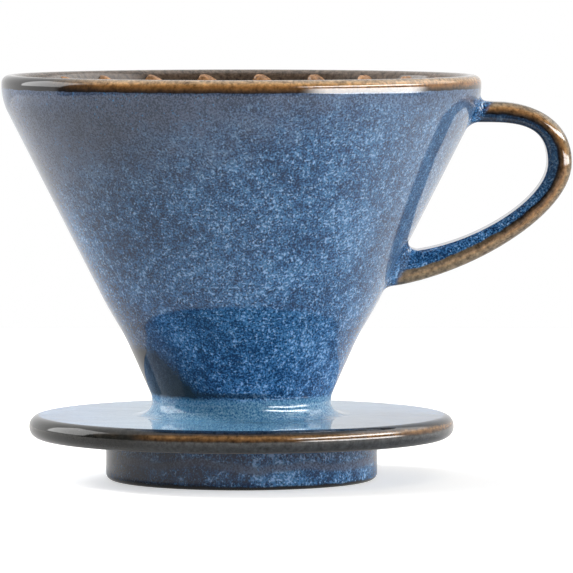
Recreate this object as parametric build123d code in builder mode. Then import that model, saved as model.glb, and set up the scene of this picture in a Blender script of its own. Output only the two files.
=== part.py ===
from build123d import *

import os
from math import atan2, cos, degrees, radians, sin, tan

# Ceramic pour over dripper: a ribbed cone luted to a saucer, a foot ring and a strap handle.
# Millimetres. +Z is up, the origin is on the cone's axis at the plane that the foot rests on,
# and the handle points along +X.

# whole dripper
height = 98.0  # table to the crest of the lip
rim_radius = 58.0  # outside of the lip

# cone, outside
lip_band = 6.0  # crest down to the corner between upright lip and sloping wall
lip_blend = 13.0  # radius that rounds that corner
neck_radius = 19.7  # where the wall would meet the saucer without its fillet
neck_flare = 0.58  # how far the straight wall's own line would pass inside that
neck_fillet = 4.0  # hollow curve from the wall into the saucer
waist_rise = 19.3  # saucer up to where the wall is drawn in most
waist_depth = 0.6
waist_reach = 7.5  # and from there up to where it is straight
waist_blend = 60.0  # radius of both soft bends
seat_margin = 0.6  # flat ring outside the neck's fillet
seat_depth = 1.5  # cone's base into the saucer

# cone, inside: straight from the lip to the outlet, at the 60 degrees of a paper cone
lip_width = 3.45  # across the crest, before its shoulders are rounded
lip_flat = 0.3  # what the rounding leaves of that
outlet_radius = 9.5
outlet_rise = 4.26  # saucer's top up to the outlet
outlet_land = 2.5  # upright wall of the outlet
outlet_edge = 0.6  # rounding of the outlet's upper edge
drain_radius = 14.0  # hole in the saucer, below the outlet

# ribs inside the cone
rib_pairs = 12  # one long and one short rib each
rib_round = 1.3  # radius of a rib's back
rib_inset = 0.3  # centre of that radius, in from the wall
rib_sweep = 115.0  # degrees that a full-length rib turns
rib_top = 1.8  # crest of the lip down to the upper end
rib_bottom = 2.2  # outlet's edge up to the lower end of a long rib
short_rib_rise = 37.0  # upright distance between the ends of a short rib
rib_direction = 86.8  # first long rib's upper end, degrees from +X

# saucer
saucer_radius = 51.5
saucer_top = 15.7
saucer_thickness = 5.5
saucer_band = 0.3  # upright band that the rounding of both edges leaves

# foot ring
foot_radius = 32.9
foot_wall = 5.0
tongue_height = 1.2  # tongue on its top, into a groove in the saucer
tongue_width = 3.0  # at its top; its outside slopes down to the ring's
foot_outer_edge = 1.6
foot_inner_edge = 1.0

# handle, a strap bent into a finger loop
handle_reach = 21.8  # lip's outside to the outermost point
handle_crown = 0.68  # height of that point, from 0 at the lower root to 1 at the upper
upper_root_drop = 2.9  # lip's corner down to the middle of the upper root
lower_root_rise = 8.3  # drawn-in part of the wall up to the middle of the lower root
upper_root_height = 4.9
lower_root_height = 8.6
strap_thickness = 5.85  # at the outermost point
strap_width = 12.0
strap_outer_edge = 2.6
strap_inner_edge = 1.2
shoulder_pull = 0.51  # how far the upper curves run on before they turn down
outer_rise = 0.7
inner_rise = 0.96
tail_pull = 0.48  # the same for the lower curves
tail_drop = 0.4
outer_lean = 10.7  # slope of the strap at its lower root, degrees
inner_lean = 8.2

# handle's roots and the pads that they stand on, let into the cone's wall
root_run = 4.0  # straight stretch at each root
root_sink = 0.6  # hollow curves run on this far into the wall
upper_outer_fillet = 1.2
upper_inner_fillet = 4.5
lower_inner_fillet = 1.8
lower_outer_fillet = 3.0
pad_height_margin = 4.0
pad_width_margin = 1.5
pad_corner = 3.0
pad_depth = 1.0

# heights, slopes and radii that pieces share
saucer_bottom = saucer_top - saucer_thickness
saucer_edge = (saucer_thickness - saucer_band) / 2
seat_z = saucer_top - seat_depth
foot_inner_radius = foot_radius - foot_wall
tongue_inner_radius = foot_radius - (foot_wall + tongue_width) / 2
tongue_outer_radius = tongue_inner_radius + tongue_width
tongue_top = saucer_bottom + tongue_height
lip_corner_z = height - lip_band
outlet_z = saucer_top + outlet_rise
wall_slope = (rim_radius - neck_radius + neck_flare) / (lip_corner_z - saucer_top)
filter_slope = (rim_radius - lip_width - outlet_radius) / (height - outlet_z)
filter_angle = degrees(atan2(filter_slope, 1))
lip_round = (lip_width - lip_flat) / (1 + tan(radians(45 - filter_angle / 2)))
crest_z = height - lip_round
rib_top_z = height - rib_top


def wall_radius(z):
    # outside of the straight wall at height z
    return rim_radius - (lip_corner_z - z) * wall_slope


def inner_radius(z):
    # inside of the cone at height z
    return outlet_radius + (z - outlet_z) * filter_slope


waist_z = saucer_top + waist_rise
waist_top_z = waist_z + waist_reach
waist_radius = wall_radius(waist_z) - waist_depth
neck_angle = degrees(atan2(waist_z - saucer_top, waist_radius - neck_radius))
seat_radius = neck_radius + neck_fillet / tan(radians(neck_angle / 2)) + seat_margin
upper_root_z = lip_corner_z - upper_root_drop
lower_root_z = waist_top_z + lower_root_rise
crown_x = rim_radius + handle_reach
crown_z = lower_root_z + handle_crown * (upper_root_z - lower_root_z)

# outside of the wall above the neck: radius, height, rounding
wall_corners = [
    (waist_radius, waist_z, waist_blend),
    (wall_radius(waist_top_z), waist_top_z, waist_blend),
    (rim_radius, lip_corner_z, lip_blend),
]


def outline(corners):
    # closed line through corners given as radius, height, rounding
    points = [(radius, z) for radius, z, _ in corners]
    rounds = [rounding for _, _, rounding in corners]
    FilletPolyline(*points, radius=rounds, close=True)


os.makedirs("parts", exist_ok=True)

# saucer: recess on top for the cone's base, groove below for the foot ring
with BuildPart() as saucer:
    with BuildSketch(Plane.YZ):
        with BuildLine():
            outline([
                (drain_radius, saucer_bottom, 0),
                (tongue_inner_radius, saucer_bottom, 0),
                (tongue_inner_radius, tongue_top, 0),
                (tongue_outer_radius, tongue_top, 0),
                (foot_radius, saucer_bottom, 0),
                (saucer_radius, saucer_bottom, saucer_edge),
                (saucer_radius, saucer_top, saucer_edge),
                (seat_radius, saucer_top, 0),
                (seat_radius, seat_z, 0),
                (drain_radius, seat_z, 0),
            ])
        make_face()
    revolve(axis=Axis.Z)
saucer.part.label = "saucer"
export_step(saucer.part, "parts/saucer.step")

# foot ring: stands on the table, or drops into the mouth of a mug
with BuildPart() as foot_ring:
    with BuildSketch(Plane.YZ):
        with BuildLine():
            outline([
                (foot_inner_radius, 0, foot_inner_edge),
                (foot_radius, 0, foot_outer_edge),
                (foot_radius, saucer_bottom, 0),
                (tongue_outer_radius, tongue_top, 0),
                (tongue_inner_radius, tongue_top, 0),
                (tongue_inner_radius, saucer_bottom, 0),
                (foot_inner_radius, saucer_bottom, 0),
            ])
        make_face()
    revolve(axis=Axis.Z)
foot_ring.part.label = "foot_ring"
export_step(foot_ring.part, "parts/foot_ring.step")

# shape of the cone's outside, filled in
with BuildPart() as filled_cone:
    with BuildSketch(Plane.YZ) as filled_section:
        with BuildLine():
            outline([
                (0, saucer_top, 0),
                (neck_radius, saucer_top, 0),
                *wall_corners,
                (rim_radius, height, 0),
                (0, height, 0),
            ])
        make_face()
    revolve(axis=Axis.Z)

# the same, less a skin as deep as the handle's pads
with BuildPart() as cone_core:
    with BuildSketch(Plane.YZ):
        add(filled_section.sketch_local)
        offset(amount=-pad_depth)
    revolve(axis=Axis.Z)

# the handle's pads: two patches of that skin, one around each root
with BuildPart() as root_pads:
    with BuildSketch(Plane.YZ.offset(outlet_radius)):
        for root_z, root_height in (
            (upper_root_z, upper_root_height),
            (lower_root_z, lower_root_height),
        ):
            with Locations((0, root_z)):
                RectangleRounded(
                    strap_width + 2 * pad_width_margin,
                    root_height + 2 * pad_height_margin,
                    radius=pad_corner,
                )
    extrude(amount=rim_radius)
    add(filled_cone.part, mode=Mode.INTERSECT)
    add(cone_core.part, mode=Mode.SUBTRACT)


def root_corner(z):
    # where one side of the strap would meet the wall, a little inside it
    return Vector(wall_radius(z) - root_sink, z)


def strap_side(crown, upper_corner, lower_corner, rise, lean):
    # one side of the strap, less the straight runs at its roots; returns its two ends
    tail = Vector(cos(radians(lean)), sin(radians(lean)))
    start = upper_corner + Vector(root_run, 0)
    middle = Vector(crown, crown_z)
    end = lower_corner + tail * root_run
    Bezier(
        start,
        start + Vector(shoulder_pull * (middle - start).X, 0),
        middle + Vector(0, rise * (start - middle).Y),
        middle,
    )
    Bezier(
        middle,
        middle - Vector(0, tail_drop * (middle - end).Y),
        end + tail * tail_pull * (middle - end).X,
        end,
    )
    return start, end


# handle: a plate of the loop's outline, less the finger opening, on its pads
with BuildPart() as handle:
    with BuildSketch(Plane.XZ):
        with BuildLine():
            upper_corner = root_corner(upper_root_z + upper_root_height / 2)
            lower_corner = root_corner(lower_root_z - lower_root_height / 2)
            start, end = strap_side(
                crown_x, upper_corner, lower_corner, outer_rise, outer_lean
            )
            above = Vector(upper_corner.X, crest_z)
            below = root_corner(waist_top_z)
            buried = Vector(outlet_radius, 0)
            FilletPolyline(
                start, upper_corner, above, above - buried,
                below - buried, below, lower_corner, end,
                radius=[upper_outer_fillet, 0, 0, 0, 0, lower_outer_fillet],
            )
        make_face()
    extrude(amount=strap_width / 2, both=True)
    sides = handle.edges().group_by(Axis.Y)
    fillet(sides[0] + sides[-1], radius=strap_outer_edge)
    with BuildSketch(Plane.XZ):
        with BuildLine():
            upper_corner = root_corner(upper_root_z - upper_root_height / 2)
            lower_corner = root_corner(lower_root_z + lower_root_height / 2)
            start, end = strap_side(
                crown_x - strap_thickness, upper_corner, lower_corner, inner_rise, inner_lean
            )
            FilletPolyline(
                start, upper_corner, lower_corner, end,
                radius=[upper_inner_fillet, lower_inner_fillet],
            )
        make_face()
    extrude(amount=strap_width, both=True, mode=Mode.SUBTRACT)
    sides = handle.edges(Select.LAST).group_by(Axis.Y)
    fillet(sides[0] + sides[-1], radius=strap_inner_edge)
    add(filled_cone.part, mode=Mode.SUBTRACT)
    add(root_pads.part)
handle.part.label = "handle"
export_step(handle.part, "parts/handle.step")

# cone: rolled lip, sloping wall, neck and base disc, open through the outlet
with BuildPart() as cone:
    with BuildSketch(Plane.YZ):
        with BuildLine():
            outline([
                (seat_radius, seat_z, 0),
                (seat_radius, saucer_top, 0),
                (neck_radius, saucer_top, neck_fillet),
                *wall_corners,
                (rim_radius, height, lip_round),
                (inner_radius(height), height, lip_round),
                (outlet_radius, outlet_z, outlet_edge),
                (outlet_radius, outlet_z - outlet_land, 0),
                (drain_radius, seat_z, 0),
            ])
        make_face()
    revolve(axis=Axis.Z)
    add(handle.part, mode=Mode.SUBTRACT)
cone.part.label = "cone"
export_step(cone.part, "parts/cone.step")

# hollow of the cone, which the ribs stand in
with BuildPart() as filter_space:
    with BuildSketch(Plane.YZ):
        with BuildLine():
            outline([
                (0, outlet_z, 0),
                (outlet_radius, outlet_z, 0),
                (inner_radius(height), height, 0),
                (0, height, 0),
            ])
        make_face()
    revolve(axis=Axis.Z)


def make_rib(low_z, high_z):
    # half-round rib that climbs the inside of the cone and ends in the direction of +X
    full_rise = rib_top_z - outlet_z
    turn = rib_sweep * (high_z - low_z) / full_rise
    with BuildPart() as bead:
        with BuildLine() as path:
            Helix(
                pitch=full_rise / cos(radians(filter_angle)) * 360 / rib_sweep,
                height=high_z - low_z,
                radius=inner_radius(low_z) - rib_inset,
                center=(0, 0, low_z),
                cone_angle=filter_angle,
            )
        with BuildSketch(Plane(path.line @ 0, z_dir=path.line % 0)):
            Circle(rib_round)
        sweep(path=path.line, is_frenet=True)
        with Locations(path.line @ 0, path.line @ 1):
            Sphere(rib_round)
    with BuildPart() as rib:
        with Locations(Rotation(0, 0, -turn)):
            add(bead.part)
        add(filter_space.part, mode=Mode.INTERSECT)
    return rib.part


def export_rib(rib, name, direction):
    with BuildPart() as placed:
        with Locations(Rotation(0, 0, direction)):
            add(rib)
    placed.part.label = name
    export_step(placed.part, f"parts/{name}.step")


# ribs: long ones down to the outlet, and short ones halfway between them
long_rib = make_rib(outlet_z + rib_bottom, rib_top_z)
short_rib = make_rib(rib_top_z - short_rib_rise, rib_top_z)
rib_step = 360 / rib_pairs
for number in range(rib_pairs):
    direction = rib_direction + number * rib_step
    export_rib(long_rib, f"long_rib_{number + 1:02d}", direction)
    export_rib(short_rib, f"short_rib_{number + 1:02d}", direction + rib_step / 2)
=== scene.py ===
import math

import bpy
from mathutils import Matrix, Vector


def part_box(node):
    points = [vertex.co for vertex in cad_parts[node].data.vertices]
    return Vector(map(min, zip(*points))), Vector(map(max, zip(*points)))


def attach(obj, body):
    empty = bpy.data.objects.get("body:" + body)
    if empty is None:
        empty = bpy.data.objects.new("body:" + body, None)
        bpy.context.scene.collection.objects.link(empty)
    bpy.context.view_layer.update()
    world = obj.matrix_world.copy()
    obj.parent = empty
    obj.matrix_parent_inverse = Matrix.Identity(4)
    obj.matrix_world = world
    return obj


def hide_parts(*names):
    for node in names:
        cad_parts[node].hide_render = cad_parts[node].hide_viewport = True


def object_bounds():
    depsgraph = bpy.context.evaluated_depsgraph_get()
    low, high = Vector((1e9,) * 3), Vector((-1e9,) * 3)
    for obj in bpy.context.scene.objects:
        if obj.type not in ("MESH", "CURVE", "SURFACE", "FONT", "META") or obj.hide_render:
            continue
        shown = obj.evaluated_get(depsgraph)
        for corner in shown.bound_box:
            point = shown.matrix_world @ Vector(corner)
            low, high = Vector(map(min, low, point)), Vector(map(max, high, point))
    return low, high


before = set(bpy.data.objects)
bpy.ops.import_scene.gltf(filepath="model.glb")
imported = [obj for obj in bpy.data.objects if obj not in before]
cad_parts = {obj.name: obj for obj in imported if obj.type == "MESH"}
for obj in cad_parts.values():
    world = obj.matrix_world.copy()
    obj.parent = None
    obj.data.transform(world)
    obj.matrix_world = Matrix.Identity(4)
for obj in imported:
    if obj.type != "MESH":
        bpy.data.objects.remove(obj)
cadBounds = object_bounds()
mm = 0.001

# sizes that several pieces share, read from the frame
coneLow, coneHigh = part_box("cone")
saucerLow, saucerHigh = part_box("saucer")
_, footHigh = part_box("foot_ring")
_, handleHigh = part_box("handle")
lipRadius = -coneLow.y
top = coneHigh.z

weld = 0.001 * mm  # points nearer than this are merged
pick = 0.02 * mm  # how near a point is to a place to be picked there
sharpAngle = 30  # edges sharper than this stay crisp


def deselectAll():
    bpy.ops.object.select_all(action="DESELECT")


def edit(piece):
    bpy.context.view_layer.objects.active = piece
    piece.select_set(True)
    bpy.ops.object.mode_set(mode="EDIT")


def leaveEdit():
    bpy.ops.object.mode_set(mode="OBJECT")


def selectPoints(piece, wanted):
    # leaves edit mode, selects the vertices for which wanted(place) is true, and goes back
    leaveEdit()
    for part in (piece.data.vertices, piece.data.edges, piece.data.polygons):
        part.foreach_set("select", [False] * len(part))
    for vertex in piece.data.vertices:
        vertex.select = wanted(vertex.co)
    bpy.ops.object.mode_set(mode="EDIT")


def near(place, other):
    return (place - other).length < pick


def turn(angle, axis, centre):
    # by the right-hand rule, which the operator goes against when there is no window
    bpy.ops.transform.rotate(value=-angle, orient_axis=axis, center_override=centre)


camera = {"distance": 1.45, "height": 0.132, "aim": 0.0467, "lens": 376.7, "sensor": 36, "clipEnd": 20}


def addCamera():
    centre = (cadBounds[0].x + cadBounds[1].x) / 2
    bpy.ops.object.camera_add(location=(centre, -camera["distance"], camera["height"]))
    cam = bpy.context.object
    cam.data.lens = camera["lens"]
    cam.data.sensor_width = camera["sensor"]
    cam.data.clip_end = camera["clipEnd"]
    aim = Vector((centre, 0, camera["aim"]))
    cam.rotation_euler = (aim - cam.location).to_track_quat("-Z", "Y").to_euler()
    bpy.context.scene.camera = cam
    bpy.context.scene.view_settings.view_transform = "Standard"


addCamera()
print("camera placed")


# the turned pieces are an outline of corners, rounded and spun round the axis
turning = {"steps": 256, "roundSegments": 12}


def outline(name, corners, segments, place=lambda across, up: Vector((across, 0, up))):
    # corners are (across, up, rounding); leaves edit mode on a closed, rounded outline
    deselectAll()
    places = [place(across, up) for across, up, _ in corners]
    bpy.ops.mesh.primitive_plane_add(size=mm)
    piece = bpy.context.object
    piece.name = name
    edit(piece)
    bpy.ops.mesh.merge(type="CENTER")
    bpy.ops.transform.translate(value=places[0])
    for here, there in zip(places, places[1:]):
        bpy.ops.mesh.extrude_region_move(TRANSFORM_OT_translate={"value": there - here})
    selectPoints(piece, lambda p: near(p, places[0]) or near(p, places[-1]))
    bpy.ops.mesh.edge_face_add()
    for index, (_, _, rounding) in enumerate(corners):
        if rounding:
            here = places[index]
            before = (places[index - 1] - here).normalized()
            after = (places[(index + 1) % len(places)] - here).normalized()
            run = rounding / math.tan(before.angle(after) / 2)
            selectPoints(piece, lambda p: near(p, here))
            bpy.ops.mesh.bevel(affect="VERTICES", offset=run, segments=segments)
    return piece


def spin(piece):
    bpy.ops.mesh.select_all(action="SELECT")
    bpy.ops.mesh.spin(steps=turning["steps"], angle=math.tau, center=(0, 0, 0), axis=(0, 0, 1))
    bpy.ops.mesh.select_all(action="SELECT")
    bpy.ops.mesh.remove_doubles(threshold=weld)
    bpy.ops.mesh.normals_make_consistent(inside=False)
    leaveEdit()
    finishSurface(piece)


def finishSurface(piece):
    bpy.ops.object.shade_smooth_by_angle(angle=math.radians(sharpAngle))
    bpy.ops.object.modifier_add(type="WEIGHTED_NORMAL")
    piece.modifiers[-1].keep_sharp = True
    bpy.ops.object.modifier_apply(modifier=piece.modifiers[-1].name)


cone = {
    "lipBand": 6 * mm, "lipBlend": 13 * mm, "lipShoulder": 2 * mm, "lipWidth": 3.45 * mm,
    "neckRadius": 19.7 * mm, "neckFlare": 0.58 * mm, "neckFillet": 4 * mm,
    "waistRise": 19.3 * mm, "waistDepth": 0.6 * mm, "waistReach": 7.5 * mm, "waistBlend": 60 * mm,
    "outletRadius": 9.5 * mm, "outletRise": 4.26 * mm, "outletLand": 2.5 * mm, "outletEdge": 0.6 * mm,
    "drainRadius": 14 * mm, "seatMargin": 0.6 * mm,
}
neckZ = saucerHigh.z
lipCornerZ = top - cone["lipBand"]
wallFootRadius = cone["neckRadius"] - cone["neckFlare"]
wallSlope = (lipRadius - wallFootRadius) / (lipCornerZ - neckZ)
outletZ = neckZ + cone["outletRise"]
innerSlope = (lipRadius - cone["lipWidth"] - cone["outletRadius"]) / (top - outletZ)


def wallRadius(height):
    return lipRadius - (lipCornerZ - height) * wallSlope


def innerRadius(height):
    return cone["outletRadius"] + (height - outletZ) * innerSlope


def makeCone():
    waistZ = neckZ + cone["waistRise"]
    waistTopZ = waistZ + cone["waistReach"]
    piece = outline("coneBody", [
        (coneSeatRadius(), coneLow.z, 0),
        (coneSeatRadius(), neckZ, 0),
        (cone["neckRadius"], neckZ, cone["neckFillet"]),
        (wallRadius(waistZ) - cone["waistDepth"], waistZ, cone["waistBlend"]),
        (wallRadius(waistTopZ), waistTopZ, cone["waistBlend"]),
        (lipRadius, lipCornerZ, cone["lipBlend"]),
        (lipRadius, top, cone["lipShoulder"]),
        (lipRadius - cone["lipWidth"], top, cone["lipShoulder"]),
        (cone["outletRadius"], outletZ, cone["outletEdge"]),
        (cone["outletRadius"], outletZ - cone["outletLand"], 0),
        (cone["drainRadius"], coneLow.z, 0),
    ], turning["roundSegments"])
    spin(piece)
    return piece


def coneSeatRadius():
    # just outside the neck's fillet, where the base disc lies in the saucer
    waistRadius = wallRadius(neckZ + cone["waistRise"]) - cone["waistDepth"]
    lean = math.atan2(cone["waistRise"], waistRadius - cone["neckRadius"])
    return cone["neckRadius"] + cone["neckFillet"] / math.tan(lean / 2) + cone["seatMargin"]


coneBody = makeCone()
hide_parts("cone")
print("cone spun", len(coneBody.data.polygons))


saucer = {"band": 0.3 * mm}
foot = {
    "wall": 5 * mm, "tongueHeight": 1.2 * mm, "tongueWidth": 3 * mm,
    "outerEdge": 1.6 * mm, "innerEdge": 1 * mm,
}
tongueInner = footHigh.y - (foot["wall"] + foot["tongueWidth"]) / 2
tongueOuter = tongueInner + foot["tongueWidth"]


def makeSaucer():
    edge = (saucerHigh.z - saucerLow.z - saucer["band"]) / 2
    tongueTop = saucerLow.z + foot["tongueHeight"]
    piece = outline("saucerPlate", [
        (cone["drainRadius"], saucerLow.z, 0),
        (tongueInner, saucerLow.z, 0),
        (tongueInner, tongueTop, 0),
        (tongueOuter, tongueTop, 0),
        (footHigh.y, saucerLow.z, 0),
        (saucerHigh.y, saucerLow.z, edge),
        (saucerHigh.y, neckZ, edge),
        (coneSeatRadius(), neckZ, 0),
        (coneSeatRadius(), coneLow.z, 0),
        (cone["drainRadius"], coneLow.z, 0),
    ], turning["roundSegments"])
    spin(piece)
    return piece


def makeFoot():
    inner = footHigh.y - foot["wall"]
    tongueTop = saucerLow.z + foot["tongueHeight"]
    piece = outline("footRing", [
        (inner, 0, foot["innerEdge"]),
        (footHigh.y, 0, foot["outerEdge"]),
        (footHigh.y, saucerLow.z, 0),
        (tongueOuter, tongueTop, 0),
        (tongueInner, tongueTop, 0),
        (tongueInner, saucerLow.z, 0),
        (inner, saucerLow.z, 0),
    ], turning["roundSegments"])
    spin(piece)
    return piece


saucerPlate = makeSaucer()
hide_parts("saucer")
footRing = makeFoot()
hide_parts("foot_ring")
print("saucer and foot spun")


# the handle is a side view drawn station by station, given its width, then rounded
handle = {
    "width": 12 * mm, "crown": 0.68, "upperRootDrop": 2.9 * mm, "lowerRootRise": 8.3 * mm,
    "upperRootHeight": 4.9 * mm, "lowerRootHeight": 8.6 * mm, "thickness": 5.85 * mm,
    "outerEdge": 2.6 * mm, "outerSegments": 8, "innerEdge": 1.2 * mm, "innerSegments": 5,
    "shoulderPull": 0.51, "outerRise": 0.7, "innerRise": 0.96, "tailPull": 0.48, "tailDrop": 0.4,
    "outerLean": 10.7, "innerLean": 8.2, "rootRun": 4 * mm, "rootSink": 0.6 * mm,
    "upperOuterFillet": 1.2 * mm, "upperInnerFillet": 4.5 * mm,
    "lowerInnerFillet": 1.8 * mm, "lowerOuterFillet": 3.0 * mm, "sideFillet": 2.2 * mm,
    "stations": 26, "rootDepths": (-0.35, 0.0, 0.12, 0.35, 0.7, 1.15, 1.7),
}
wallLean = math.atan(wallSlope)
alongWall = Vector((math.sin(wallLean), 0, math.cos(wallLean)))
offWall = Vector((math.cos(wallLean), 0, -math.sin(wallLean)))


def rootCorner(height):
    return Vector((wallRadius(height) - handle["rootSink"], 0, height))


def bezier(a, b, c, d, count):
    for index in range(count):
        t = index / count
        yield a * (1 - t) ** 3 + b * 3 * t * (1 - t) ** 2 + c * 3 * t * t * (1 - t) + d * t ** 3


def strapLine(upperZ, lowerZ, middle, rise, lean):
    # from the upper root round to the lower one
    tail = Vector((math.cos(lean), 0, math.sin(lean)))
    start = rootCorner(upperZ) + Vector((handle["rootRun"], 0, 0))
    end = rootCorner(lowerZ) + tail * handle["rootRun"]
    yield from bezier(start, start + Vector((handle["shoulderPull"] * (middle.x - start.x), 0, 0)),
                      middle + Vector((0, 0, rise * (start.z - middle.z))), middle, handle["stations"])
    yield from bezier(middle, middle - Vector((0, 0, handle["tailDrop"] * (middle.z - end.z))),
                      end + tail * handle["tailPull"] * (middle.x - end.x), end, handle["stations"])
    yield end


def rootPlace(depth, corner, direction, fillet, side):
    # where a face of the strap, with the hollow curve at its root, stands off the wall by depth
    onWall = Vector((wallRadius(corner.z), 0, corner.z))
    startDepth = (corner - onWall).dot(offWall)
    startAlong = (corner - onWall).dot(alongWall)
    run = Vector((direction.dot(offWall), direction.dot(alongWall))).normalized()
    centre = startAlong + (side * fillet + run.y * (fillet - startDepth)) / run.x
    if depth < fillet * (1 + side * run.y):
        inside = max(0, fillet ** 2 - (depth - fillet) ** 2)
        along = centre - side * math.sqrt(inside)
    else:
        along = startAlong + (depth - startDepth) * run.y / run.x
    return onWall + offWall * depth + alongWall * along


def rootStations(upper, lower, upperDirection, lowerDirection, upperFillet, lowerFillet):
    for depth in handle["rootDepths"]:
        yield (rootPlace(depth * mm, upper, upperDirection, upperFillet, 1),
               rootPlace(depth * mm, lower, lowerDirection, lowerFillet, -1))


def strapStations():
    # pairs of places on the outer and the inner face
    upperZ = lipCornerZ - handle["upperRootDrop"]
    lowerZ = neckZ + cone["waistRise"] + cone["waistReach"] + handle["lowerRootRise"]
    upperHalf, lowerHalf = handle["upperRootHeight"] / 2, handle["lowerRootHeight"] / 2
    outerLean, innerLean = math.radians(handle["outerLean"]), math.radians(handle["innerLean"])
    crownZ = lowerZ + handle["crown"] * (upperZ - lowerZ)
    outerCrown = Vector((handleHigh.x, 0, crownZ))
    innerCrown = outerCrown - Vector((handle["thickness"], 0, 0))
    level = Vector((1, 0, 0))
    stations = list(rootStations(rootCorner(upperZ + upperHalf), rootCorner(upperZ - upperHalf), level, level,
                                 handle["upperOuterFillet"], handle["upperInnerFillet"]))
    outer = strapLine(upperZ + upperHalf, lowerZ - lowerHalf, outerCrown, handle["outerRise"], outerLean)
    inner = strapLine(upperZ - upperHalf, lowerZ + lowerHalf, innerCrown, handle["innerRise"], innerLean)
    stations += zip(outer, inner)
    lowerRoot = rootStations(rootCorner(lowerZ + lowerHalf), rootCorner(lowerZ - lowerHalf),
                             Vector((math.cos(innerLean), 0, math.sin(innerLean))),
                             Vector((math.cos(outerLean), 0, math.sin(outerLean))),
                             handle["lowerInnerFillet"], handle["lowerOuterFillet"])
    stations += reversed([(outer, inner) for inner, outer in lowerRoot])
    return stations


def direction(station):
    across = station[1] - station[0]
    return math.atan2(across.x, across.z)


def offLine(place, station):
    # how far a place is from a station's line, seen from the side
    flat = Vector((place.x, 0, place.z)) - station[0]
    across = station[1] - station[0]
    share = min(1, max(0, flat.dot(across) / across.dot(across)))
    return (flat - across * share).length


def onStation(place, station):
    return offLine(place, station) < pick / 2


def makeHandle():
    stations = strapStations()
    halfWidth = handle["width"] / 2
    side = Vector((0, -halfWidth, 0))
    piece = drawSide(stations, side)
    bpy.ops.mesh.extrude_region_move(TRANSFORM_OT_translate={"value": (0, 2 * halfWidth, 0)})
    bpy.ops.mesh.select_all(action="SELECT")
    bpy.ops.mesh.normals_make_consistent(inside=False)
    for face, edge in ((0, "outer"), (1, "inner")):
        selectStrapEdges(piece, [station[face] for station in stations])
        bpy.ops.mesh.bevel(affect="EDGES", offset=handle[edge + "Edge"], segments=handle[edge + "Segments"])
    bpy.ops.mesh.select_mode(type="VERT")
    flareRoots(piece, stations, halfWidth)
    for depth, upper, lower in zip(handle["rootDepths"], stations, reversed(stations)):
        wrapRing(piece, depth * mm, lambda p: onStation(p, upper) or onStation(p, lower))
    bpy.ops.mesh.select_all(action="SELECT")
    bpy.ops.mesh.remove_doubles(threshold=weld)
    bpy.ops.mesh.normals_make_consistent(inside=False)
    leaveEdit()
    finishSurface(piece)
    return piece


def drawSide(stations, side):
    # leaves edit mode on the strap's side view, all selected
    deselectAll()
    bpy.ops.mesh.primitive_plane_add(size=mm)
    piece = bpy.context.object
    piece.name = "handleStrap"
    edit(piece)
    bpy.ops.mesh.merge(type="CENTER")
    bpy.ops.transform.translate(value=stations[0][0] + side)
    bpy.ops.mesh.extrude_region_move(TRANSFORM_OT_translate={"value": stations[0][1] - stations[0][0]})
    bpy.ops.mesh.select_all(action="SELECT")
    for here, there in zip(stations, stations[1:]):
        middle = (there[0] + there[1]) / 2
        bpy.ops.mesh.extrude_region_move(TRANSFORM_OT_translate={"value": middle - (here[0] + here[1]) / 2})
        angle = (direction(there) - direction(here) + math.pi) % math.tau - math.pi
        turn(angle, "Y", middle + side)
        size = (there[1] - there[0]).length / (here[1] - here[0]).length
        bpy.ops.transform.resize(value=(size, size, size), center_override=middle + side)
    bpy.ops.mesh.select_all(action="SELECT")
    return piece


def flareRoots(piece, stations, halfWidth):
    # widens both roots by the hollow curve at the strap's sides
    fillet = handle["sideFillet"]
    last = len(handle["rootDepths"])
    for station, depth in zip(stations[:last] + stations[:-last - 1:-1], handle["rootDepths"] * 2):
        flare = fillet
        if depth >= 0:
            flare -= math.sqrt(max(0, fillet ** 2 - max(0, fillet - depth * mm) ** 2))
        selectPoints(piece, lambda p: onStation(p, station))
        bpy.ops.transform.resize(value=(1, 1 + flare / halfWidth, 1),
                                 center_override=(station[0] + station[1]) / 2)


def wrapRing(piece, depth, wanted):
    # lets a ring near the root follow the round of the cone, standing off it by depth
    leaveEdit()
    ring = piece.vertex_groups.new(name="ring")
    ring.add([vertex.index for vertex in piece.data.vertices if wanted(vertex.co)], 1, "REPLACE")
    bpy.ops.object.modifier_add(type="SHRINKWRAP")
    wrap = piece.modifiers[-1]
    wrap.target = coneBody
    wrap.vertex_group = ring.name
    wrap.wrap_mode = "ABOVE_SURFACE"
    wrap.offset = depth
    bpy.ops.object.modifier_apply(modifier=wrap.name)
    piece.vertex_groups.clear()
    bpy.ops.object.mode_set(mode="EDIT")


def selectStrapEdges(piece, line):
    bpy.ops.mesh.select_mode(type="EDGE")
    bpy.ops.mesh.select_all(action="DESELECT")
    leaveEdit()
    mesh = piece.data
    onLine = {vertex.index for vertex in mesh.vertices
              if any(near(Vector((vertex.co.x, 0, vertex.co.z)), place) for place in line)}
    for edge in mesh.edges:
        first, second = edge.vertices
        sameSide = mesh.vertices[first].co.y * mesh.vertices[second].co.y > 0
        edge.select = first in onLine and second in onLine and sameSide
    bpy.ops.object.mode_set(mode="EDIT")


handleStrap = makeHandle()
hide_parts("handle")
print("handle drawn", len(handleStrap.data.polygons))


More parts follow.
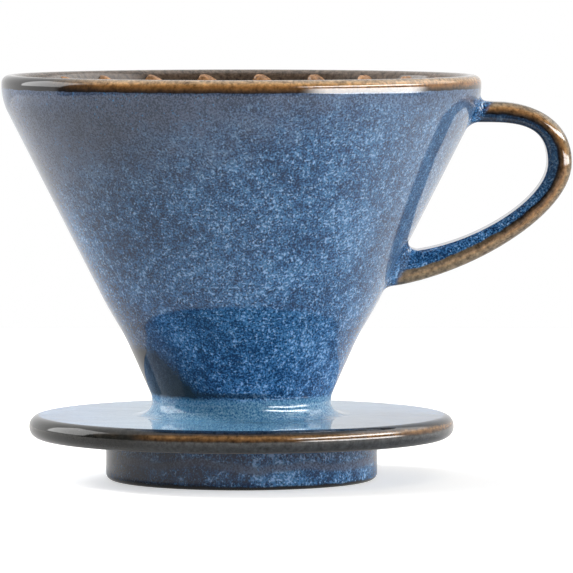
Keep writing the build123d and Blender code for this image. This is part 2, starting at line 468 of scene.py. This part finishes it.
# a rib is a soft bead drawn down the hollow on a spiral, thinned out at both ends
rib = {
    "pairs": 12, "height": 1.6 * mm, "topDrop": 1.8 * mm, "bottomRise": 2.2 * mm, "shortRise": 37 * mm,
    "sweep": 115.0, "direction": 86.8, "steps": 60, "halfTop": 0.95 * mm, "halfFoot": 1.62 * mm,
    "halfSkirt": 2.5 * mm, "topRound": 1.3 * mm, "footRound": 1.2 * mm, "segments": 4,
    "sunk": 0.45 * mm, "skirtSunk": 0.1 * mm,
    "endRun": 2.5 * mm, "endSize": 0.3, "endSteps": (0.1, 0.3, 0.6),
}
filterLean = math.atan(innerSlope)
ribTopZ = top - rib["topDrop"]
ribFootZ = outletZ + rib["bottomRise"]
turnPerRise = math.radians(rib["sweep"]) / (ribTopZ - ribFootZ)


def ribPlace(height, angle):
    return Vector((innerRadius(height) * math.cos(angle), innerRadius(height) * math.sin(angle), height))


def ribLean(height):
    # angle between the rib and the straight way down the wall
    return math.atan(turnPerRise * innerRadius(height) * math.cos(filterLean))


def makeRib(name, footZ):
    # its upper end is at +X, and it goes down clockwise as seen from above
    lean = ribLean(ribTopZ)
    inward = Vector((-math.cos(filterLean), 0, math.sin(filterLean)))
    downWall = Vector((-math.sin(filterLean), 0, -math.cos(filterLean)))
    along = downWall * math.cos(lean) + Vector((0, -1, 0)) * math.sin(lean)
    across = along.cross(inward)
    start = ribPlace(ribTopZ, 0)
    half = [
        (rib["halfSkirt"], -rib["sunk"], 0), (rib["halfSkirt"], -rib["skirtSunk"], 0),
        (rib["halfFoot"], 0, rib["footRound"]), (rib["halfTop"], rib["height"], rib["topRound"]),
    ]
    corners = half + [(-side, up, rounding) for side, up, rounding in reversed(half)]
    piece = outline(name, corners, rib["segments"], lambda side, up: start + across * side + inward * up)
    bpy.ops.mesh.select_all(action="SELECT")
    size = rib["endSize"]
    bpy.ops.transform.resize(value=(size,) * 3, center_override=start)
    height, angle = ribTopZ, 0.0
    rise = (ribTopZ - footZ) / rib["steps"]
    heights = [ribTopZ - rise * share for share in rib["endSteps"]]
    heights += [ribTopZ - rise * index for index in range(1, rib["steps"])]
    heights += [footZ + rise * share for share in reversed(rib["endSteps"])] + [footZ]
    for there in heights:
        thereAngle = -turnPerRise * (ribTopZ - there)
        place = ribPlace(there, thereAngle)
        bpy.ops.mesh.extrude_region_move(TRANSFORM_OT_translate={"value": place - ribPlace(height, angle)})
        turn(thereAngle - angle, "Z", place)
        swing = ribLean(height) - ribLean(there)
        normal = Vector((-math.cos(filterLean) * math.cos(thereAngle),
                         -math.cos(filterLean) * math.sin(thereAngle), math.sin(filterLean)))
        for axis, share in zip("XYZ", normal):
            turn(-swing * share, axis, place)
        thereSize = ribSize(there, footZ)
        bpy.ops.transform.resize(value=(thereSize / size,) * 3, center_override=place)
        height, angle, size = there, thereAngle, thereSize
    bpy.ops.mesh.select_all(action="SELECT")
    bpy.ops.mesh.normals_make_consistent(inside=False)
    leaveEdit()
    finishSurface(piece)
    return piece


def ribSize(height, footZ):
    # 1 along the rib, less at its ends
    slant = min(ribTopZ - height, height - footZ) / math.cos(filterLean) / math.cos(ribLean(height))
    share = min(1, slant / rib["endRun"])
    return rib["endSize"] + (1 - rib["endSize"]) * math.sqrt(1 - (1 - share) ** 2)


def placeRib(model, name, node, angle):
    piece = model.copy()
    piece.data = model.data.copy()
    piece.name = name
    bpy.context.collection.objects.link(piece)
    deselectAll()
    edit(piece)
    bpy.ops.mesh.select_all(action="SELECT")
    turn(angle, "Z", (0, 0, 0))
    leaveEdit()
    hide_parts(node)
    return piece


ribs = []
longModel = makeRib("longRibModel", ribFootZ)
shortModel = makeRib("shortRibModel", ribTopZ - rib["shortRise"])
spacing = math.tau / rib["pairs"]
for index in range(rib["pairs"]):
    angle = math.radians(rib["direction"]) + index * spacing
    number = f"{index + 1:02d}"
    ribs.append(placeRib(longModel, "longRib" + number, "long_rib_" + number, angle))
    ribs.append(placeRib(shortModel, "shortRib" + number, "short_rib_" + number, angle + spacing / 2))
for model in (longModel, shortModel):
    bpy.data.objects.remove(model)
print("ribs placed", len(ribs), len(ribs[0].data.polygons))


def addNode(tree, kind, **settings):
    node = tree.nodes.new(kind)
    for name, value in settings.items():
        setattr(node, name, value)
    return node


def maths(tree, operation, first, second=0.0, third=0.0):
    node = addNode(tree, "ShaderNodeMath", operation=operation)
    for socket, value in zip(node.inputs, (first, second, third)):
        if isinstance(value, (int, float)):
            socket.default_value = value
        else:
            tree.links.new(value, socket)
    return node.outputs[0]


def times(tree, first, second):
    return maths(tree, "MULTIPLY", first, second)


def most(tree, first, second):
    return maths(tree, "MAXIMUM", first, second)


def plus(tree, value, amount, other):
    # value with amount of other added
    return maths(tree, "MULTIPLY_ADD", other, amount, value)


def between(tree, value, span):
    # 0 up to the low end of span, 1 from its high end, smooth between
    node = addNode(tree, "ShaderNodeMapRange", interpolation_type="SMOOTHSTEP")
    tree.links.new(value, node.inputs["Value"])
    node.inputs["From Min"].default_value, node.inputs["From Max"].default_value = span
    return node.outputs["Result"]


def below(tree, value, span):
    # the other way round: 1 up to the low end
    return maths(tree, "SUBTRACT", 1.0, between(tree, value, span))


def noise(tree, place, scale, detail, roughness=0.5):
    node = addNode(tree, "ShaderNodeTexNoise")
    node.inputs["Scale"].default_value = scale
    node.inputs["Detail"].default_value = detail
    node.inputs["Roughness"].default_value = roughness
    tree.links.new(place, node.inputs["Vector"])
    return node.outputs["Fac"]


def unevenness(tree, place, scale, detail):
    # noise that goes up and down from nought
    return maths(tree, "SUBTRACT", noise(tree, place, scale, detail), 0.5)


def frayed(tree, value, place, scale, detail, amount):
    # value made uneven by about a third of amount either way
    return plus(tree, value, amount, unevenness(tree, place, scale, detail))


def ramp(tree, value, stops):
    node = addNode(tree, "ShaderNodeValToRGB")
    stripes = node.color_ramp.elements
    while len(stripes) < len(stops):
        stripes.new(0.5)
    for stripe, (place, colour) in zip(stripes, stops):
        stripe.position = place
        stripe.color = (*colour, 1)
    tree.links.new(value, node.inputs["Fac"])
    return node.outputs["Color"]


def bands(tree, value, low, high, stops):
    # colours at given values between low and high
    share = maths(tree, "MULTIPLY_ADD", value, 1 / (high - low), -low / (high - low))
    return ramp(tree, share, [((at - low) / (high - low), colour) for at, colour in stops])


def mix(tree, amount, under, over):
    node = addNode(tree, "ShaderNodeMix", data_type="RGBA")
    for socket, value in ((node.inputs[0], amount), (node.inputs[6], under), (node.inputs[7], over)):
        if isinstance(value, (int, float)):
            socket.default_value = value
        elif isinstance(value, tuple):
            socket.default_value = (*value, 1)
        else:
            tree.links.new(value, socket)
    return node.outputs[2]


def attribute(tree, name):
    return addNode(tree, "ShaderNodeAttribute", attribute_name=name).outputs["Fac"]


# the glaze that all the pieces share
glaze = {
    "grainScale": 2300, "dotScale": 1700, "clumpScale": 420, "cloudScale": 75, "driftScale": 14,
    "grainRoughness": 0.6, "clumping": 0.3, "clouding": 0.25, "thinClouding": 0.35,
    "deep": (0.008, 0.034, 0.1), "mid": (0.03, 0.125, 0.3),
    "light": (0.095, 0.29, 0.59), "pale": (0.33, 0.57, 0.87),
    "deepTo": 0.38, "midAt": 0.5, "lightFrom": 0.61, "dots": (0.58, 0.7),
    "thinDark": (0.05, 0.075, 0.13), "thinLight": (0.15, 0.2, 0.32),
    "thinDarkTo": 0.4, "thinLightFrom": 0.62, "thinDots": (0.66, 0.78),
    "pooled": (0.12, 0.31, 0.48), "pooledPale": (0.28, 0.48, 0.64),
    "pooledFrom": 0.34, "pooledAt": 0.5, "pooledPaleFrom": 0.66,
    "umber": (0.016, 0.014, 0.014), "blotchScale": 900, "blotchRoughness": 0.65, "blotches": (-0.6, 2.6),
    "roughness": 0.045, "wave": 0.05 * mm, "waveScale": 120, "rippling": 5,
}


def startGlaze(name):
    # gives the material, its tree, the place on the object, and x and z in millimetres
    material = bpy.data.materials.new(name)
    material.use_nodes = True
    tree = material.node_tree
    tree.nodes["Principled BSDF"].inputs["Roughness"].default_value = glaze["roughness"]
    place = addNode(tree, "ShaderNodeTexCoord").outputs["Object"]
    split = addNode(tree, "ShaderNodeSeparateXYZ")
    tree.links.new(place, split.inputs[0])
    x, z = (times(tree, split.outputs[axis], 1 / mm) for axis in "XZ")
    return material, tree, place, x, z


def endGlaze(material, colour, place, wave=glaze["wave"], scale=glaze["waveScale"], ripple=0.0):
    # links the colour, and adds the faint unevenness of a poured glaze, deeper where ripple is
    tree = material.node_tree
    shader = tree.nodes["Principled BSDF"]
    tree.links.new(colour, shader.inputs["Base Color"])
    node = addNode(tree, "ShaderNodeBump")
    node.inputs["Distance"].default_value = wave
    node.inputs["Strength"].default_value = 1.0
    depth = maths(tree, "MULTIPLY_ADD", ripple, glaze["rippling"], 1)
    tree.links.new(times(tree, noise(tree, place, scale, 2), depth), node.inputs["Height"])
    tree.links.new(node.outputs["Normal"], shader.inputs["Normal"])
    return material


def speckled(tree, place, rich=0.0):
    # the crystals that float the blue up: fine worms gathered in clumps and drifts, and pale grains
    fine = noise(tree, place, glaze["grainScale"], 2, glaze["grainRoughness"])
    clump = unevenness(tree, place, glaze["clumpScale"], 2)
    cloud = unevenness(tree, place, glaze["cloudScale"], 3)
    gathered = plus(tree, times(tree, clump, glaze["clumping"]), glaze["clouding"], cloud)
    gathered = maths(tree, "ADD", gathered, rich)
    ground = ramp(tree, maths(tree, "ADD", fine, gathered), [
        (glaze["deepTo"], glaze["deep"]), (glaze["midAt"], glaze["mid"]),
        (glaze["lightFrom"], glaze["light"]),
    ])
    grain = maths(tree, "ADD", noise(tree, place, glaze["dotScale"], 1), gathered)
    return mix(tree, between(tree, grain, glaze["dots"]), ground, glaze["pale"])


def thinned(tree, place):
    # grey where the glaze is thin, with a few pale grains
    cloud = unevenness(tree, place, glaze["cloudScale"], 3)
    fine = noise(tree, place, glaze["grainScale"], 2, glaze["grainRoughness"])
    ground = ramp(tree, plus(tree, fine, glaze["thinClouding"], cloud), [
        (glaze["thinDarkTo"], glaze["thinDark"]), (glaze["thinLightFrom"], glaze["thinLight"]),
    ])
    grain = plus(tree, noise(tree, place, glaze["dotScale"], 1), glaze["thinClouding"], cloud)
    return mix(tree, between(tree, grain, glaze["thinDots"]), ground, glaze["light"])


def pooledGlaze(tree, place):
    # pale where it lies thick, with the grains nearly closed up
    fine = noise(tree, place, glaze["grainScale"], 2, glaze["grainRoughness"])
    return ramp(tree, fine, [
        (glaze["pooledFrom"], glaze["mid"]), (glaze["pooledAt"], glaze["pooled"]),
        (glaze["pooledPaleFrom"], glaze["pooledPale"]),
    ])


def mottled(tree, place, colour):
    # uneven like iron coming through
    least, greatest = glaze["blotches"]
    blotch = noise(tree, place, glaze["blotchScale"], 4, glaze["blotchRoughness"])
    node = addNode(tree, "ShaderNodeVectorMath", operation="SCALE")
    tree.links.new(maths(tree, "MULTIPLY_ADD", blotch, greatest - least, least), node.inputs["Scale"])
    if isinstance(colour, tuple):
        node.inputs[0].default_value = colour
    else:
        tree.links.new(colour, node.inputs[0])
    return node.outputs[0]


# spans here and below are in millimetres: up the piece, or where named across, to the right of its middle
coneLook = {
    # rich and lowRich make the blue richer to the right: partly the glaze, partly painted light from the right
    "ior": 1.56, "rich": 0.0004, "lowRich": 0.0003, "lowSpan": (25, 55),
    "thinSpan": (71, 94), "thinLean": -0.33, "thinDrift": 26, "thinFray": 14, "thinFrayScale": 300,
    "underLipSpan": (89.5, 93.5), "underLipShare": 0.65, "underLipDrift": 3, "underLipFray": 4,
    # these paint a pale sheen on the cone's right side: a painted reflection
    "paintedSheen": (0.31, 0.36, 0.45), "paintedSheenShare": 0.3, "paintedSheenAcross": (12, 50), "paintedSheenSpan": (38, 60),
    # run is the colour of a near-black patch of painted shade at the left of the neck; shade is a softer
    # painted shade round it
    "ragScale": 500, "run": (0.002, 0.002, 0.003), "shadePatchSlope": 0.95, "shadePatchFray": 3,
    "shadePatchShare": 0.96, "shadePatchSpan": (31, 34), "shadePatchAcross": (9, 12.2),
    "shade": (0.008, 0.014, 0.03), "shadeShare": 0.65, "shadeSpan": (34, 48), "shadeAcross": (6, 22),
    "lineHeight": 21.8, "lineEdge": (0.3, 0.9), "lineAcross": (2, 14), "lineShare": 0.7,
    "neckDrift": 2, "neckFray": 0.8, "pooledSpan": (20.0, 21.4),
    "edgeScale": 260, "edgeFray": 0.5, "lipSpan": (94.85, 95.05),
    "lipUmber": (-47, -30), "lipUmberDrift": 20, "hollowSpan": (90, 93.5),
    # outside, the lip darkens from the crest down to its foot; the gold near the top is partly the glaze and
    # partly a painted highlight
    "lipBandsWithHighlight": (94, 98, [
        (95, (0.028, 0.024, 0.021)), (95.44, (0.08, 0.046, 0.026)), (95.92, (0.19, 0.095, 0.036)),
        (96.48, (0.31, 0.14, 0.043)), (97.04, (0.54, 0.3, 0.12)), (97.88, (0.4, 0.3, 0.2)),
    ]),
    "hollowBands": (90, 100, [
        (93, (0.028, 0.032, 0.044)), (95, (0.045, 0.034, 0.026)), (96.2, (0.095, 0.064, 0.043)),
        (98, (0.15, 0.115, 0.09)),
    ]),
}


def coneGlaze():
    look = coneLook
    material, tree, place, x, z = startGlaze("coneGlaze")
    tree.nodes["Principled BSDF"].inputs["IOR"].default_value = look["ior"]
    drift = unevenness(tree, place, glaze["driftScale"], 2)
    ragged = unevenness(tree, place, look["ragScale"], 3)

    # the blue, richer to the right, with a painted pale sheen there that stands in for a reflection
    low = below(tree, z, look["lowSpan"])
    # richer to the right: partly the glaze and partly painted light from the right side
    rich = plus(tree, times(tree, x, look["rich"]), look["lowRich"], times(tree, low, x))
    paintedSheenMask = times(tree, between(tree, x, look["paintedSheenAcross"]), between(tree, z, look["paintedSheenSpan"]))
    blue = mix(tree, times(tree, paintedSheenMask, look["paintedSheenShare"]), speckled(tree, place, rich), look["paintedSheen"])

    # painted shade: a near-black patch at the left of the neck with a softer painted shade round it, and a
    # thin dark line round the neck's foot that fades out to the right
    run = plus(tree, plus(tree, x, look["shadePatchSlope"], z), look["shadePatchFray"], ragged)
    dark = times(tree, below(tree, z, look["shadePatchSpan"]), below(tree, run, look["shadePatchAcross"]))
    shade = times(tree, below(tree, z, look["shadeSpan"]), below(tree, run, look["shadeAcross"]))
    neck = plus(tree, plus(tree, z, look["neckFray"], ragged), look["neckDrift"], drift)
    offLineHeight = maths(tree, "ABSOLUTE", maths(tree, "SUBTRACT", neck, look["lineHeight"]))
    line = times(tree, below(tree, offLineHeight, look["lineEdge"]), below(tree, x, look["lineAcross"]))
    darkest = most(tree, times(tree, dark, look["shadePatchShare"]), times(tree, line, look["lineShare"]))
    blue = mix(tree, times(tree, shade, look["shadeShare"]), blue, look["shade"])
    blue = mix(tree, darkest, blue, look["run"])
    pooled = below(tree, neck, look["pooledSpan"])
    blue = mix(tree, pooled, blue, pooledGlaze(tree, place))

    # thin at the upper left, down to a slanting edge, and in a band right under the lip
    thinLine = plus(tree, plus(tree, z, look["thinLean"], x), look["thinDrift"], drift)
    thinLine = frayed(tree, thinLine, place, look["thinFrayScale"], 4, look["thinFray"])
    underLip = plus(tree, plus(tree, z, look["underLipFray"], ragged), look["underLipDrift"], drift)
    underLip = times(tree, between(tree, underLip, look["underLipSpan"]), look["underLipShare"])
    thin = most(tree, between(tree, thinLine, look["thinSpan"]), underLip)
    colour = mix(tree, thin, blue, thinned(tree, place))

    # amber to umber on the lip, outside and in; on the outside, the gold just under the crest is partly a
    # painted highlight
    edge = frayed(tree, z, place, look["edgeScale"], 3, look["edgeFray"])
    lip = mottled(tree, place, bands(tree, edge, *look["lipBandsWithHighlight"]))
    lipAcross = between(tree, plus(tree, x, look["lipUmberDrift"], drift), look["lipUmber"])
    lip = mix(tree, lipAcross, glaze["umber"], lip)
    outside = mix(tree, between(tree, edge, look["lipSpan"]), colour, lip)
    hollowLip = mottled(tree, place, bands(tree, edge, *look["hollowBands"]))
    hollow = mix(tree, between(tree, edge, look["hollowSpan"]), speckled(tree, place), hollowLip)
    return endGlaze(material, mix(tree, attribute(tree, "inHollow"), outside, hollow), place, ripple=pooled)


saucerLook = {
    "edgeScale": 260, "edgeFray": 0.7, "patchScale": 90, "patchFray": 20, "patchAcross": (-32, -14),
    "rimShare": (0.1, 0.6), "rimWidth": 2.7 * mm, "pooledAcross": (18, 46), "topSpan": (11.5, 13),
    "topRich": 0.03, "wave": 0.09 * mm, "waveScale": 90,
    "rimBands": (11.5, 16.5, [
        (11.9, (0.045, 0.05, 0.056)), (12.9, (0.08, 0.08, 0.08)), (13.15, (0.07, 0.05, 0.035)),
        (13.6, (0.16, 0.078, 0.03)), (14.2, (0.31, 0.17, 0.07)), (14.7, (0.06, 0.035, 0.02)),
        (15, glaze["umber"]), (15.5, (0.012, 0.03, 0.06)),
    ]),
    "oliveBands": (11.5, 16.5, [
        (12, (0.02, 0.021, 0.021)), (13.5, (0.026, 0.026, 0.023)), (14.5, (0.02, 0.02, 0.018)),
    ]),
}


def saucerGlaze():
    look = saucerLook
    material, tree, place, x, z = startGlaze("saucerGlaze")
    edge = frayed(tree, z, place, look["edgeScale"], 3, look["edgeFray"])
    patch = frayed(tree, x, place, look["patchScale"], 2, look["patchFray"])
    olive, amber = (bands(tree, edge, *look[name]) for name in ("oliveBands", "rimBands"))
    rim = mottled(tree, place, mix(tree, between(tree, patch, look["patchAcross"]), olive, amber))
    pooled = below(tree, maths(tree, "ABSOLUTE", x), look["pooledAcross"])
    top = mix(tree, pooled, speckled(tree, place, look["topRich"]), pooledGlaze(tree, place))
    body = mix(tree, between(tree, z, look["topSpan"]), speckled(tree, place), top)
    colour = mix(tree, between(tree, attribute(tree, "atRim"), look["rimShare"]), body, rim)
    return endGlaze(material, colour, place, look["wave"], look["waveScale"])


footLook = {
    # the band keys place a painted reflection round the middle of the foot
    "driftScale": 60, "drift": 6, "paintedReflectionHeight": 5.6, "paintedReflectionEdge": (0.4, 1.6), "paintedReflectionShare": 0.85,
    "clumpScale": 170, "clumpLevel": 0.55, "clumping": 0.5, "rich": 0.0009,
    "shade": (0.01, 0.013, 0.02), "shadeShare": 0.75, "shadeAcross": (-42, -16), "shadeLean": -1.5,
    "edgeScale": 130, "edgeFray": 1.2, "bareSpan": (0.7, 1.3),
}


def footGlaze():
    look = footLook
    material, tree, place, x, z = startGlaze("footGlaze")
    drift = frayed(tree, z, place, look["driftScale"], 3, look["drift"])
    # a grey band round the middle of the foot, in the thin glaze's colours, is a painted reflection
    offPaintedReflection = maths(tree, "ABSOLUTE", maths(tree, "SUBTRACT", drift, look["paintedReflectionHeight"]))
    paintedReflectionBand = times(tree, below(tree, offPaintedReflection, look["paintedReflectionEdge"]), look["paintedReflectionShare"])
    clumps = maths(tree, "SUBTRACT", noise(tree, place, look["clumpScale"], 3), look["clumpLevel"])
    # richer to the right: partly the glaze and partly painted light from the right side
    rich = plus(tree, times(tree, x, look["rich"]), look["clumping"], clumps)
    colour = mix(tree, paintedReflectionBand, speckled(tree, place, rich), thinned(tree, place))
    lit = between(tree, plus(tree, x, look["shadeLean"], drift), look["shadeAcross"])
    colour = mix(tree, lit, mix(tree, look["shadeShare"], colour, look["shade"]), colour)
    edge = frayed(tree, z, place, look["edgeScale"], 3, look["edgeFray"])
    bare = mottled(tree, place, glaze["umber"])
    return endGlaze(material, mix(tree, between(tree, edge, look["bareSpan"]), bare, colour), place)


handleLook = {
    # the low limb's colour and its share paint light onto the band of the lower limb
    "lowLimb": (48, 66), "lowLimbWider": -0.9, "lowLimbPaintedLightShare": 0.45, "lowLimbPaintedLight": (0.5, 0.37, 0.22),
    "edgeScale": 300, "edgeFray": 1.2, "bandEdge": (3.2, 3.7),
    "thinSpan": (56, 78), "thinShare": 0.8, "thin": (0.02, 0.03, 0.048),
    "rootFray": 1.5, "rootSpan": (1.6, 3.0),
    "bands": (0, 5, [
        (0.1, (0.18, 0.135, 0.09)), (0.8, (0.31, 0.215, 0.12)), (1.5, (0.43, 0.23, 0.095)),
        (2.1, (0.2, 0.1, 0.04)), (2.7, (0.08, 0.05, 0.03)), (3.1, glaze["umber"]),
    ]),
}


def handleGlaze():
    look = handleLook
    material, tree, place, _, z = startGlaze("handleGlaze")
    lowLimb = below(tree, z, look["lowLimb"])
    edge = frayed(tree, attribute(tree, "depthInStrap"), place, look["edgeScale"], 3, look["edgeFray"])
    edge = plus(tree, edge, look["lowLimbWider"], lowLimb)
    band = bands(tree, edge, *look["bands"])
    # painted light: the lower limb's band is made lighter where it faces down and to the right, towards the
    # low lamp
    band = mix(tree, times(tree, lowLimb, look["lowLimbPaintedLightShare"]), band, look["lowLimbPaintedLight"])
    thin = times(tree, between(tree, z, look["thinSpan"]), look["thinShare"])
    body = mix(tree, thin, speckled(tree, place), look["thin"])
    colour = mix(tree, between(tree, edge, look["bandEdge"]), mottled(tree, place, band), body)
    root = frayed(tree, attribute(tree, "offRoot"), place, look["edgeScale"], 2, look["rootFray"])
    colour = mix(tree, between(tree, root, look["rootSpan"]), speckled(tree, place), colour)
    return endGlaze(material, colour, place)


ribLook = {
    "crestScale": 500, "crestFray": 0.9, "crestShare": (0.55, 0.85), "endSpan": (90, 94.5),
    "crest": (0.13, 0.055, 0.019), "end": (0.42, 0.21, 0.09),
}


def ribGlaze():
    look = ribLook
    material, tree, place, _, z = startGlaze("ribGlaze")
    crest = frayed(tree, attribute(tree, "ribCrest"), place, look["crestScale"], 3, look["crestFray"])
    end = between(tree, z, look["endSpan"])
    warm = mottled(tree, place, ramp(tree, end, [(0.0, look["crest"]), (1.0, look["end"])]))
    bare = between(tree, most(tree, crest, end), look["crestShare"])
    return endGlaze(material, mix(tree, bare, speckled(tree, place), warm), place)


def paintPoints(piece, name, value):
    points = piece.data.attributes.new(name, "FLOAT", "POINT")
    points.data.foreach_set("value", [value(vertex.co) for vertex in piece.data.vertices])


def shareOf(value):
    return min(1, max(0, value))


def fromAxis(p):
    return math.hypot(p.x, p.y)


def hollowShare(p):
    # 1 inside the cone, 0 outside it, turning over in the middle of its wall
    middle = lipRadius - cone["lipWidth"] / 2
    if p.z < lipCornerZ:
        middle = (wallRadius(p.z) + innerRadius(p.z)) / 2
    return shareOf(0.5 + (middle - fromAxis(p)) / mm)


def rimShare(p):
    return shareOf((fromAxis(p) - saucerHigh.y + saucerLook["rimWidth"]) / mm)


def rootDistance(p):
    # millimetres off the wall that the strap stands on
    return (fromAxis(p) - wallRadius(p.z)) * math.cos(wallLean) / mm


def strapDepth(p):
    # millimetres in from the strap's outer face
    nearest = min(handleStations, key=lambda station: offLine(p, station))
    across = (nearest[1] - nearest[0]).normalized()
    return (Vector((p.x, 0, p.z)) - nearest[0]).dot(across) / mm


def crestShare(p):
    # 0 at the wall, 1 on the rib's crest
    return (innerRadius(p.z) - fromAxis(p)) * math.cos(filterLean) / rib["height"]


handleStations = strapStations()
paintPoints(coneBody, "inHollow", hollowShare)
paintPoints(saucerPlate, "atRim", rimShare)
paintPoints(handleStrap, "offRoot", rootDistance)
paintPoints(handleStrap, "depthInStrap", strapDepth)
for piece in ribs:
    paintPoints(piece, "ribCrest", crestShare)

glazeOfRibs = ribGlaze()
for piece, material, slot in (
    (coneBody, coneGlaze(), "cone_glaze"),
    (saucerPlate, saucerGlaze(), "saucer_glaze"),
    (footRing, footGlaze(), "foot_glaze"),
    (handleStrap, handleGlaze(), "handle_glaze"),
    *[(piece, glazeOfRibs, "rib_glaze") for piece in ribs],
):
    piece.data.materials.clear()
    piece.data.materials.append(material)
    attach(piece, "root")
print("glazed")


# floorLift is the floor's glow for the camera, and the mirrored and right lifts are shares of it in the
# glaze; the losses darken the light it throws back; the world's spans are parts of a direction
studio = {
    "floorSize": 1.1, "floorColour": (0.85, 0.83, 0.8), "floorRoughness": 0.9, "floorLift": 0.55,
    "mirroredLift": 0.47, "rightLift": 0.5, "rightSpan": (0.03, 0.12), "bounceLoss": 0.5, "mirrorLoss": 0.45,
    "dark": (0.03, 0.03, 0.03), "behind": 0.9, "behindFrom": (0.1, 0.2), "behindUpTo": (0.75, 0.9),
    "ceiling": 0.9, "ceilingSlope": 0.55, "ceilingFrom": (0.1, 0.3),
}
black, white = (0.0, 0.0, 0.0), (1.0, 1.0, 1.0)


def splitPlace(tree, coordinates):
    split = addNode(tree, "ShaderNodeSeparateXYZ")
    tree.links.new(addNode(tree, "ShaderNodeTexCoord").outputs[coordinates], split.inputs[0])
    return split.outputs


def addFloor():
    deselectAll()
    bpy.ops.mesh.primitive_plane_add(size=studio["floorSize"])
    floor = bpy.context.object
    floor.name = "floor"
    material = bpy.data.materials.new("floorPaper")
    material.use_nodes = True
    tree = material.node_tree
    shader = tree.nodes["Principled BSDF"]
    shader.inputs["Roughness"].default_value = studio["floorRoughness"]
    shader.inputs["Specular IOR Level"].default_value = 0
    shader.inputs["Emission Color"].default_value = (*white, 1)
    ray = addNode(tree, "ShaderNodeLightPath").outputs
    # what it throws back on the part is held down, so that the part's shaded sides stay deep
    loss = most(tree, times(tree, ray["Is Diffuse Ray"], studio["bounceLoss"]),
                times(tree, ray["Is Glossy Ray"], studio["mirrorLoss"]))
    tree.links.new(mix(tree, loss, studio["floorColour"], black), shader.inputs["Base Color"])
    # and it is brighter in the glaze on the right, where the main light comes from
    right = between(tree, splitPlace(tree, "Object")["X"], studio["rightSpan"])
    mirroredLift = maths(tree, "MULTIPLY_ADD", right, studio["rightLift"], studio["mirroredLift"])
    seen = most(tree, ray["Is Camera Ray"], times(tree, ray["Is Glossy Ray"], mirroredLift))
    seen = most(tree, seen, ray["Is Transmission Ray"])
    tree.links.new(times(tree, seen, studio["floorLift"]), shader.inputs["Emission Strength"])
    floor.data.materials.append(material)


def addWorld():
    # dark, with a pale wall behind the part, a pale ceiling that only the glaze sees, and white for the camera
    world = bpy.data.worlds.new("studio")
    bpy.context.scene.world = world
    world.use_nodes = True
    tree = world.node_tree
    ray = addNode(tree, "ShaderNodeLightPath").outputs
    towards = splitPlace(tree, "Generated")
    wall = times(tree, between(tree, towards["Y"], studio["behindFrom"]),
                 below(tree, towards["Z"], studio["behindUpTo"]))
    overhead = plus(tree, towards["Y"], studio["ceilingSlope"], towards["Z"])
    ceiling = times(tree, between(tree, overhead, studio["ceilingFrom"]),
                    times(tree, ray["Is Glossy Ray"], studio["ceiling"]))
    pale = most(tree, times(tree, wall, studio["behind"]), ceiling)
    pale = most(tree, pale, ray["Is Camera Ray"])
    tree.links.new(mix(tree, pale, studio["dark"], white), tree.nodes["Background"].inputs["Color"])


def addLamp(name, azimuth, elevation, distance, size, radiance, glossy=True, diffuse=True, core=0.25):
    # azimuth 0 is towards the camera, positive to its right; size is width and height
    deselectAll()
    turnRound, lift = math.radians(azimuth), math.radians(elevation)
    level = Vector((math.sin(turnRound), -math.cos(turnRound), 0))
    away = level * math.cos(lift) + Vector((0, 0, math.sin(lift)))
    middle = Vector((0, 0, cadBounds[1].z / 2))
    bpy.ops.object.light_add(type="AREA", location=middle + away * distance)
    lamp = bpy.context.object
    lamp.name = name
    lamp.rotation_euler = (-away).to_track_quat("-Z", "Y").to_euler()
    width, height = size
    lamp.data.shape = "RECTANGLE"
    lamp.data.size = width
    lamp.data.size_y = height
    lamp.data.energy = radiance * math.pi * width * height
    lamp.visible_camera = False
    lamp.visible_glossy = glossy
    lamp.visible_diffuse = diffuse
    softenLamp(lamp, core)


def softenLamp(lamp, core):
    # dims from core of the width and height off the middle out to the edges, as a cloth box does
    lamp.data.use_nodes = True
    tree = lamp.data.node_tree
    split = addNode(tree, "ShaderNodeSeparateXYZ")
    tree.links.new(addNode(tree, "ShaderNodeNewGeometry").outputs["Parametric"], split.inputs[0])
    sides = []
    for along in (split.outputs["X"], split.outputs["Y"]):
        fromMiddle = maths(tree, "ABSOLUTE", maths(tree, "SUBTRACT", along, 0.5))
        sides.append(below(tree, fromMiddle, (core, 0.5)))
    tree.links.new(times(tree, *sides), tree.nodes["Emission"].inputs["Strength"])


addFloor()
addWorld()
addLamp("rightBox", azimuth=64, elevation=12, distance=1.2, size=(1.6, 0.45), radiance=7.8, glossy=False)
# two strips with a gap between them, so that the saucer doesn't mirror them from a little above
for name, elevation, size, radiance in (
    ("rightShineLow", 1, (1.8, 0.26), 16.5),
    ("rightShineHigh", 28, (1.8, 0.3), 20),
):
    addLamp(name, 64, elevation, 1.2, size, radiance, diffuse=False)
addLamp("sideShine", azimuth=108, elevation=38, distance=1.2, size=(1.4, 1.0), radiance=2.0, diffuse=False)
addLamp("frontBox", azimuth=15, elevation=42, distance=1.3, size=(0.8, 0.5), radiance=4.5, glossy=False)
addLamp("backBox", azimuth=-122, elevation=27, distance=1.1, size=(0.5, 0.5), radiance=26, glossy=False)
addLamp("leftShine", azimuth=-110, elevation=21, distance=1.0, size=(0.7, 0.7), radiance=2.8, diffuse=False,
        core=0.44)
addLamp("topBox", azimuth=-75, elevation=66, distance=1.1, size=(0.6, 0.6), radiance=8.5, glossy=False)
print("studio lit")
